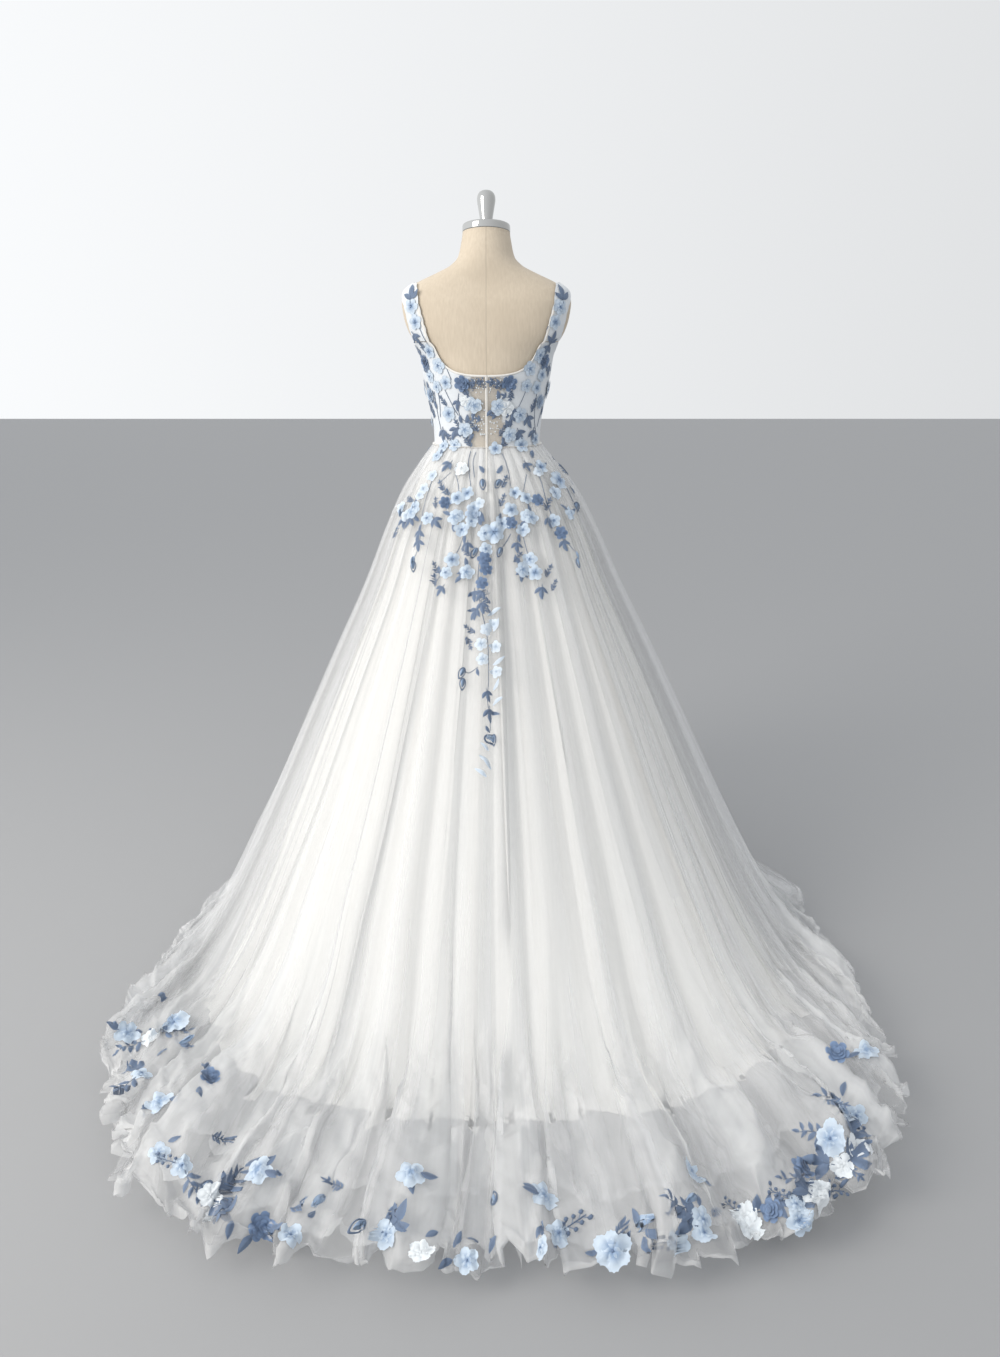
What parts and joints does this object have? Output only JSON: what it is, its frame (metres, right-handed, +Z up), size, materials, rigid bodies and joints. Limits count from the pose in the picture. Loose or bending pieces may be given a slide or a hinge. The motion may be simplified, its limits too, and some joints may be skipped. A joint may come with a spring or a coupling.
{
  "type": "wedding dress on a dress form",
  "caption": "Sleeveless white tulle wedding dress with a train and blue flower trim, worn on a limbless dress form with a round foot.",
  "frame": {"origin": "on the floor, at the centre of the dress form's round foot, on the axis of its pole", "axes": "+Z up, the wearer faces -Y, the train lies towards +Y, and +X is the wearer's left"},
  "size_m": [1.4916, 1.7945, 1.6326],
  "materials": {
    "form_cover": "plain linen",
    "polished_metal": "polished",
    "stand_steel": "satin",
    "bodice_cloth": "matt lace over tulle",
    "white_tape": "woven tape",
    "tulle": "soft net",
    "lining_satin": "dull satin",
    "flower_cloth": "matt embroidered petals"
  },
  "bodies": {
    "root": {"back_binding_left": "white_tape", "back_binding_right": "white_tape", "back_zip": "white_tape", "bodice_back_left": "bodice_cloth", "bodice_back_right": "bodice_cloth", "bodice_front": "bodice_cloth", "bodice_side_left": "bodice_cloth", "bodice_side_right": "bodice_cloth", "flower_back_disc_left": "flower_cloth", "flower_back_disc_right": "flower_cloth", "flower_back_inner_left": "flower_cloth", "flower_back_inner_right": "flower_cloth", "flower_back_upper_left": "flower_cloth", "flower_back_upper_right": "flower_cloth", "flower_back_waist_left": "flower_cloth", "flower_back_waist_right": "flower_cloth", "flower_front_left": "flower_cloth", "flower_front_right": "flower_cloth", "flower_front_waist": "flower_cloth", "flower_hem_front_left": "flower_cloth", "flower_hem_front_middle": "flower_cloth", "flower_hem_front_right": "flower_cloth", "flower_hem_left_a": "flower_cloth", "flower_hem_left_b": "flower_cloth", "flower_hem_left_c": "flower_cloth", "flower_hem_left_d": "flower_cloth", "flower_hem_right_a": "flower_cloth", "flower_hem_right_b": "flower_cloth", "flower_hem_right_c": "flower_cloth", "flower_hem_right_d": "flower_cloth", "flower_hip_left": "flower_cloth", "flower_hip_outer_left": "flower_cloth", "flower_hip_outer_right": "flower_cloth", "flower_hip_right": "flower_cloth", "flower_side_left": "flower_cloth", "flower_side_right": "flower_cloth", "flower_spray_left": "flower_cloth", "flower_spray_right": "flower_cloth", "flower_vine_top": "flower_cloth", "form_foot": "stand_steel", "form_knob": "polished_metal", "form_neck_cap": "polished_metal", "form_pole": "stand_steel", "form_socket": "stand_steel", "form_torso": "form_cover", "lining_back_left": "lining_satin", "lining_back_right": "lining_satin", "lining_front": "lining_satin", "overskirt_back_left": "tulle", "overskirt_back_right": "tulle", "overskirt_front": "tulle", "strap_left": "bodice_cloth", "strap_right": "bodice_cloth", "underskirt_back_left": "tulle", "underskirt_back_right": "tulle", "underskirt_front": "tulle", "waist_tape": "white_tape"}
  },
  "joints": []
}
